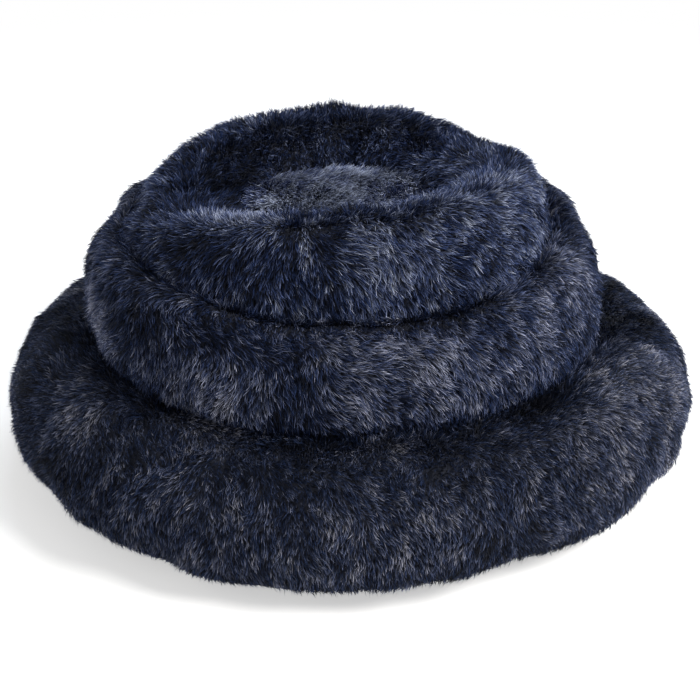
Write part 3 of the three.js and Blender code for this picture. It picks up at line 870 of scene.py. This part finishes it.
def growPile(name, bed, surface, weight, pressed, seed):
    # surface: for each point its place, normal, way of the nap, way round, azimuth, section step and so on
    dice = np.random.default_rng(seed)
    at = scatter(surface, weight, pressed, dice)
    combAndShading = combedAndShaded(bed, at)
    leave, arrive = strandWays(at, combAndShading, surface["stand"], dice)
    root, normal, flat, count = at["root"], at["normals"], at["flat"], len(at["root"])

    length = 1 + pile["lengthSpread"] * dice.normal(0, 1, count).clip(*pile["lengthLimits"])
    length *= pile["length"] * bed["pile"] * at["trim"] * (1 - pressedPile["shorter"] * flat)
    length *= 1 + pile["lengthPatch"] * waveField(root, "length")
    length *= 1 + pile["combStretch"] * np.clip(combAndShading["lean"], 0, pile["combStretchMost"])
    step = (length / 2)[:, None]
    bend = root + unit(leave + pile["bendShare"] * arrive) * step
    tip = bend + arrive * step

    # strands of one clump lean together towards its tip
    pull = at["centre"] - root
    pull -= (pull * normal).sum(-1, keepdims=True) * normal
    # painted shade: how near each strand lies to its lock's edge, where it is painted darker
    lockEdgePaintedShade = (np.linalg.norm(pull, axis=-1) / (pile["clumpSize"] / 2)).clip(0, tones["lockEdgeMost"])
    pull *= pile["clumpPull"] * dice.uniform(*pile["clumpPullSpread"], count)[:, None]
    bend += pile["bendPull"] * pull
    tip += pull
    start = root - pile["rootDepth"] * normal
    for row in (start, bend, tip):
        row[:, 2] = np.clip(row[:, 2], bed["level"] + pile["footGap"], cadBox[1][2] + pile["ceiling"])

    # flat ribbons, turned a little about their own length
    spin = dice.normal(0, pile["spin"], count)[:, None]
    width = bed["fine"] * pile["width"] * (1 + pressedPile["wider"] * flat)
    half = (width * dice.uniform(*pile["widthSpread"], count) / 2)[:, None]
    sides = []
    for axis in (leave, unit(leave + arrive)):
        flatSide = unit(np.cross(axis, normal) + tiny)
        sides.append((np.cos(spin) * flatSide + np.sin(spin) * np.cross(axis, flatSide)) * half)
    rows = ((start, pile["rootWidth"] * sides[0]), (bend, sides[1]))
    points = np.stack([row + sign * side for row, side in rows for sign in (-1, 1)] + [tip], 1)
    corners = (np.arange(count) * strandPoints)[:, None] + strandCorners

    # the colour map: across it the strand's own tone, up it the way from root to tip
    tone = strandTones(bed, at, combAndShading, lockEdgePaintedShade, dice)
    across = (tone - tones["sliver"], tone + tones["sliver"], tone)
    uvs = np.stack([np.stack([across[side], np.full(count, up / 2)], -1) for side, up in strandMap], 1)
    print(f"{name}: {count} strands")
    faces = np.tile(strandFaces, count)
    return meshObject(name, points.reshape(-1, 3), corners.ravel(), faces, uvs.reshape(-1, 2))


# The ring covers: for each sewn panel a padded cloth and the pile on it

# A fade is (the step where it starts, over how many it grows)
cover = {
    "thickness": 0.006, "columns": 49, "rows": 61, "fill": 0.75,
    "footTrim": 0.85, "footSteps": 1.1, "footPress": 0.9,
    "innerTrim": 0.6, "innerFade": (8.8, 1.6),
    # painted light: the seat tone lightens the pile where a nested bed lies, which falls in that bed's shade
    # once it is lifted
    "seatFade": (6.9, 0.7), "seatPress": 0.8, "seatPaintedLight": 0.14,
    "seed": 100, "bedSeed": 10,
}


def trimmed(bed, along):
    # the pile's length as a share: clipped at the foot, and inside the top bed where the pad begins
    share = 1 - cover["footTrim"] * np.clip(1 - along / cover["footSteps"], 0, 1)
    if not bed["guest"]:
        share -= cover["innerTrim"] * rise(along, *cover["innerFade"])
    return share


def ringCover(bed, index):
    spacing = 2 * math.pi / panelsPerRing
    start = math.radians(bed["firstSeam"]) + index * spacing
    outer, azimuth, along = ringGrid(bed, start, start + spacing, cover["columns"], cover["rows"])
    node = f"{bed['name']}_ring_panel_{index + 1}"
    cloth = shellObject(node + "_cloth", outer, sunk(bed, outer, cover["thickness"]))
    dress(cloth, bed, backingLook, node)

    shape = outer.shape[:2]
    seat = rise(along, *cover["seatFade"]) if bed["guest"] else 0 * along  # where another bed lies
    surface = {
        "grid": outer,
        "normals": gridNormals(outer),
        "nap": -unit(np.gradient(outer, axis=1)),
        "fall": np.broadcast_to(np.tanh(pile["partingSharp"] * (pile["partingStep"] - along)), shape),
        # painted light on the seat, where another bed lies
        "tone": np.broadcast_to(cover["seatPaintedLight"] * seat, shape),
        "stand": 0.0,
        "trim": np.broadcast_to(trimmed(bed, along), shape),
        "round": unit(np.gradient(outer, axis=0)),
        "azimuth": np.broadcast_to(azimuth[:, None], shape),
        "step": np.broadcast_to(along, shape),
    }
    foot = rise(cover["footPress"] - along, 0, cover["footPress"])
    pressed = np.broadcast_to(foot + cover["seatPress"] * seat, shape)
    weight = np.broadcast_to(1 - (1 - pile["hiddenShare"]) * (foot + seat), shape)
    seed = cover["seed"] + cover["bedSeed"] * list(beds).index(bed["name"]) + index
    strands = growPile(node + "_pile", bed, surface, weight, pressed, seed)
    dress(strands, bed, pileLooks[bed["name"]])


for bed in beds.values():
    for index in range(panelsPerRing):
        ringCover(bed, index)
print("ring covers grown")

# The centre pads: a crowned cap from the foot of its side over the rounded edge to the middle

pad = {
    "columns": 97, "rows": 30, "fit": 0.992, "fill": 0.6,
    "crownShares": [(0.66, 0.6), (0.33, 0.9)],  # (share of the radius, share of the crown's rise)
    "pole": 0.0005,  # radius of the hole that the middle leaves
    "lump": 0.003,
    "lumpFade": (-0.9, 3.6),  # from the foot to the middle: none below 0, full above 1
    "plump": {"large": 0.0, "medium": 0.0, "small": 0.019},
    "flare": {"large": 0.0, "medium": 0.0, "small": 0.006},  # how far the top spreads over the ring
    "turnedUnder": -0.2,  # a normal that points down more than this is turned round
    "nap": (0.55, -0.8, 0.0), "across": (0.8, 0.55, 0.0), "stand": 12,
    # painted shade: the edge tone darkens the pad within the edge width of the ring's inner foot, where it
    # dips under the ring
    "tone": 0.52, "edgePaintedShade": 0.2, "edgeWidth": 0.02,
    "farStep": 40.0,  # out of reach of the ring's combs
    "guestPress": 0.5, "sideShare": 0.1, "seed": 200,
}


def padGrid(bed):
    radius, edge, crown = bed["inner"] * pad["fit"], bed["padEdge"], bed["padCrown"]
    line = [(radius, shared["base"]), (radius, edge - shared["padRound"])]
    line.append((radius + pad["flare"][bed["name"]] - shared["padRound"], edge))
    line += [(radius * share, edge + (crown - edge) * high) for share, high in pad["crownShares"]]
    line.append((pad["pole"], crown))
    turn = np.linspace(0, 2 * math.pi, pad["columns"])[:-1]
    section = splineThrough(np.array([line]), np.linspace(0, len(line) - 1, pad["rows"]))
    grid = standGrid(bed, np.repeat(section, len(turn), 0), turn)
    fade = np.clip(np.linspace(*pad["lumpFade"], pad["rows"]), 0, 1)
    lumps = pad["lump"] * waveField(grid, "padLumps")
    grid[..., 2] += (pad["plump"][bed["name"]] + lumps) * fade
    return grid, turn


def wrapped(grid):
    # its first column again at the end, so that it closes
    return np.concatenate([grid, grid[:1]], 0)


def padNormals(grid):
    normals = gridNormals(np.concatenate([grid[-2:], grid, grid[:2]], 0))[2:-2]
    return normals * np.where(normals[..., 2:] < pad["turnedUnder"], -1, 1)


def padCover(bed):
    outer, turn = padGrid(bed)
    normals = padNormals(outer)
    inner = outer - normals * cover["thickness"]
    inner[:, 0, 2] = outer[:, 0, 2]
    inner[:, -1] = outer[:, -1] - (0, 0, cover["thickness"])
    node = f"{bed['name']}_centre_panel"
    cloth = shellObject(node + "_cloth", outer, inner, True)
    dress(cloth, bed, backingLook, node)

    grid = wrapped(outer)
    shape = grid.shape[:2]
    azimuth = np.broadcast_to(np.append(turn, 2 * math.pi)[:, None], shape)
    inside = bed["inner"] - np.linalg.norm(grid[..., :2] - (bed["middle"], 0), axis=-1)
    paintedUnderRingShade = np.clip(1 - inside / pad["edgeWidth"], 0, 1)  # painted shade: darker where the pad dips under the ring
    surface = {
        "grid": grid,
        "normals": wrapped(normals),
        "nap": np.broadcast_to(unit(np.array(pad["nap"])), grid.shape),
        "round": np.broadcast_to(unit(np.array(pad["across"])), grid.shape),
        "fall": np.ones(shape),
        "tone": pad["tone"] - pad["edgePaintedShade"] * paintedUnderRingShade,
        "stand": pad["stand"],
        "trim": np.ones(shape),
        "azimuth": azimuth,
        "step": np.full(shape, pad["farStep"]),
    }
    pressed = np.full(shape, pad["guestPress"] if bed["guest"] else 0.0)
    weight = np.full(shape, pile["hiddenShare"] if bed["guest"] else 1.0)
    side = grid[..., 2] <= bed["level"] + bed["padEdge"] - shared["padRound"]
    weight = weight * np.where(side, pad["sideShare"], 1.0)
    seed = pad["seed"] + list(beds).index(bed["name"])
    dress(growPile(node + "_pile", bed, surface, weight, pressed, seed), bed, padLook)


for bed in beds.values():
    padCover(bed)
print("centre pads grown")

# The fibre inside: a ring and a pad in each bed

filling = {
    "ringDepth": 0.0145, "padDepth": 0.0085, "columns": 73, "rows": 61, "lump": 0.0012,
    "ringFill": 0.8, "padFill": 0.7,
    "steps": 20,  # in which the ring's face is moved inwards
    "slack": 0.98,
    "pole": 0.01,  # share of the foot's radius that the hole in its middle has
}


def closedRing(name, grid):
    # a tube joined round the ring and closed along its foot
    columns, rows = grid.shape[:2]
    index = np.arange(columns * rows).reshape(columns, rows)
    index = np.concatenate([index, index[:1]], 0)
    index = np.concatenate([index, index[:, :1]], 1)
    quads = quadsOf(index)
    return meshObject(name, grid.reshape(-1, 3), quads.ravel(), np.full(len(quads), 4))


def drawnIn(face, depth):
    # the face moved into the ring by its depth, or as far as the middle of a thinner place
    inwards = -gridNormals(face)
    shares = np.linspace(0, 1, filling["steps"] + 1)
    reached = np.zeros(depth.shape)
    for before, share in zip(shares[:-1], shares[1:]):
        trial = face + inwards * (depth * share)[..., None]
        nearest = np.linalg.norm(trial[:, :, None] - face[:, None], axis=-1).min(axis=-1)
        reached[(reached == before) & (nearest > filling["slack"] * depth * share)] = share
    return face + inwards * (depth * reached)[..., None]


def fillBed(bed):
    start = math.radians(bed["firstSeam"])
    face, _, _ = ringGrid(bed, start, start + 2 * math.pi, filling["columns"], filling["rows"])
    depth = filling["ringDepth"] + filling["lump"] * (1 + np.clip(waveField(face, "tufts"), -1, 1))
    grid = drawnIn(face, depth)
    grid[..., 2] = np.maximum(grid[..., 2], bed["level"] + shared["base"])
    grid = grid[:-1]
    node = bed["name"] + "_ring_filling"
    ring = closedRing(node + "_fibre", grid)
    dress(ring, bed, fibreLook, node)

    outer, _ = padGrid(bed)
    cap = outer - padNormals(outer) * filling["padDepth"]
    cap[:, 0, 2] = bed["level"] + shared["base"]
    cap[:, -1] = outer[:, -1] - (0, 0, filling["padDepth"])
    middle = np.array([bed["middle"], 0, bed["level"] + shared["base"]])
    foot = middle + (cap[:, :1] - middle) * filling["pole"]
    node = bed["name"] + "_centre_filling"
    core = closedRing(node + "_fibre", np.concatenate([cap, foot], 1))
    dress(core, bed, fibreLook, node)


for bed in beds.values():
    fillBed(bed)
print("fillings made")

# The base cloths: a disc with a soft edge and a slot for the zip, and a dark piping sewn round its rim

baseCloth = {
    "sides": 160,
    "thickness": 0.010,
    "rimInset": 0.0016,
    "rimShare": 0.9,  # of the foot's radius: what lies further out follows the sagging foot
    "softEdge": 0.0022,
    "edgeSegments": 3,
    "slotGap": 0.0003,
    "fill": 0.3,
    "pipingSegments": (240, 12),
    "pipingRadius": {"large": 0.0042, "medium": 0.0018, "small": 0.0018},
    "pipingPucker": 0.0004,
}


def onlySelect(piece):
    bpy.ops.object.select_all(action="DESELECT")
    piece.select_set(True)
    bpy.context.view_layer.objects.active = piece


def addBlock(low, high):
    # a block between two corners
    return added(bpy.ops.mesh.primitive_cube_add, size=1, location=(low + high) / 2, scale=high - low)


def applyModifier(piece, kind, **values):
    onlySelect(piece)
    modifier = piece.modifiers.new(kind.lower(), kind)
    for key, value in values.items():
        setattr(modifier, key, value)
    bpy.ops.object.modifier_apply(modifier=modifier.name)


def finishPiece(piece, name, degrees=40):
    piece.name = name
    onlySelect(piece)
    bpy.ops.object.transform_apply(location=True, rotation=True, scale=True)
    bpy.ops.object.shade_smooth_by_angle(angle=math.radians(degrees))


def tapeBox(bed, side):
    return [np.array(corner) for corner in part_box(f"{bed['name']}_zip_tape_{side}")]


def zipBox(bed, bottom, top, room=0.0):
    # both tapes' place with room round it, between two heights
    low, high = tapeBox(bed, "front")[0], tapeBox(bed, "back")[1]
    return np.array([*(low[:2] - room), bottom]), np.array([*(high[:2] + room), top])


def followFoot(piece, bed, pucker=0.0):
    # the rim goes out with the bed's foot, and a puckered one is drawn in by each stitch
    points = np.array([vertex.co for vertex in piece.data.vertices])
    outwards = points[:, :2] - (bed["middle"], 0)
    sag = footSag(bed, np.arctan2(outwards[:, 1], outwards[:, 0]))
    sag -= pucker * (1 + waveField(points, "stitches").clip(-1, 1))
    atRim = np.linalg.norm(outwards, axis=-1) > baseCloth["rimShare"] * bed["foot"]
    points[:, :2] += (sag * atRim)[:, None] * unit(outwards)
    piece.data.vertices.foreach_set("co", points.ravel())


def makeBase(bed):
    half = baseCloth["thickness"] / 2
    disc = added(
        bpy.ops.mesh.primitive_cylinder_add, vertices=baseCloth["sides"], depth=2 * half,
        radius=bed["foot"] - baseCloth["rimInset"], location=(bed["middle"], 0, bed["level"] + half))
    under, over = bed["level"] - half, bed["level"] + 3 * half
    cutter = addBlock(*zipBox(bed, under, over, baseCloth["slotGap"]))
    applyModifier(disc, "BOOLEAN", object=cutter, operation="DIFFERENCE", solver="EXACT")
    bpy.data.objects.remove(cutter)
    edge, segments = baseCloth["softEdge"], baseCloth["edgeSegments"]
    applyModifier(disc, "BEVEL", width=edge, segments=segments, limit_method="ANGLE")
    node = bed["name"] + "_base_cloth"
    finishPiece(disc, node + "_disc")
    followFoot(disc, bed)
    dress(disc, bed, baseLook, node)


def makePiping(bed):
    radius = baseCloth["pipingRadius"][bed["name"]]
    around, across = baseCloth["pipingSegments"]
    piping = added(
        bpy.ops.mesh.primitive_torus_add, major_segments=around, minor_segments=across,
        major_radius=bed["foot"] + baseCloth["rimInset"] - radius, minor_radius=radius,
        location=(bed["middle"], 0, bed["level"] + radius))
    finishPiece(piping, bed["name"] + "_base_piping")
    followFoot(piping, bed, baseCloth["pipingPucker"])
    dress(piping, bed, baseLook)


weave = {
    "pitch": {"base": 0.0011, "tape": 0.0007},
    "roughness": {"base": 0.85, "tape": 0.8},
    "turn": 0.314,  # a wave repeats every 0.314 of its scale
    "twist": 0.6,
    "stops": (0.05, 0.75),
    "shades": (0.55, 1.6),
    "relief": 0.6,
}


def wovenMaterial(name, finish):
    # plain weave: two crossing sets of threads
    pitch = weave["pitch"][finish]
    material, nodes, links, shader = emptyMaterial(name, weave["roughness"][finish])
    coords = nodes.new("ShaderNodeTexCoord")
    threads = nodes.new("ShaderNodeMath")
    threads.operation = "MULTIPLY"
    for place, direction in enumerate(("X", "Y")):
        wave = nodes.new("ShaderNodeTexWave")
        wave.bands_direction = direction
        wave.inputs["Scale"].default_value = weave["turn"] / pitch
        wave.inputs["Distortion"].default_value = weave["twist"]
        links.new(coords.outputs["Object"], wave.inputs["Vector"])
        links.new(wave.outputs["Fac"], threads.inputs[place])
    stops = zip(weave["stops"], shades(finishes[finish], *weave["shades"]))
    links.new(ramp(nodes, links, threads.outputs[0], list(stops)), shader.inputs["Base Color"])
    addBump(nodes, links, shader, threads.outputs[0], weave["relief"], pitch / 2)
    return material


baseLook = wovenMaterial("baseWeave", "base")
tapeLook = wovenMaterial("zipTapeTwill", "tape")
metalLook = grainedMaterial("zipMetal", "metal")

for bed in beds.values():
    makeBase(bed)
    makePiping(bed)
print("base cloths and pipings made")

# The zips: woven tapes, a nylon coil along each tape's edge, and plated metal parts

zipCoil = {"pitch": 0.0016, "rib": 0.0010, "across": 0.0026, "proud": 0.0002, "round": 0.0003}


def makeCoil(bed, side, inward):
    # one rib at the tape's end, repeated along its edge
    low, high = tapeBox(bed, side)
    pitch, proud = zipCoil["pitch"], zipCoil["proud"]
    edge = (high[1] if inward > 0 else low[1]) + inward * proud
    across = sorted((edge, edge - inward * zipCoil["across"]))
    left = low[0] + (pitch - zipCoil["rib"]) / 2
    coil = addBlock(
        np.array([left, across[0], low[2] - proud]),
        np.array([left + zipCoil["rib"], across[1], high[2] + proud]))
    finishPiece(coil, f"{bed['name']}_zip_coil_{side}")
    applyModifier(coil, "BEVEL", width=zipCoil["round"], segments=1)
    applyModifier(
        coil, "ARRAY", count=int((high[0] - low[0]) / pitch), use_relative_offset=False,
        use_constant_offset=True, constant_offset_displace=(pitch, 0, 0))
    dress(coil, bed, tapeLook)


zipGuard = {
    "clear": 0.00025,  # how far it stays above the slider
    "sink": 0.00005,  # and below the base cloth's top
    "edge": 0.0001,
    "edgeSegments": 2,
}


def makeGuard(bed):
    # a strip of cloth behind the zip, between its slider and the filling
    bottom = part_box(f"{bed['name']}_zip_slider")[1][2] + zipGuard["clear"]
    guard = addBlock(*zipBox(bed, bottom, bed["level"] + baseCloth["thickness"] - zipGuard["sink"]))
    finishPiece(guard, bed["name"] + "_zip_guard")
    applyModifier(guard, "BEVEL", width=zipGuard["edge"], segments=zipGuard["edgeSegments"])
    dress(guard, bed, baseLook)


def finishNode(node, look):
    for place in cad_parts[node].material_slots:
        place.material = look


for bed in beds.values():
    for side, inward in (("front", 1), ("back", -1)):
        makeCoil(bed, side, inward)
        finishNode(f"{bed['name']}_zip_tape_{side}", tapeLook)
    makeGuard(bed)
    for part in ("slider", "pull", "top_stop", "bottom_stop"):
        finishNode(f"{bed['name']}_zip_{part}", metalLook)
print("zips finished")
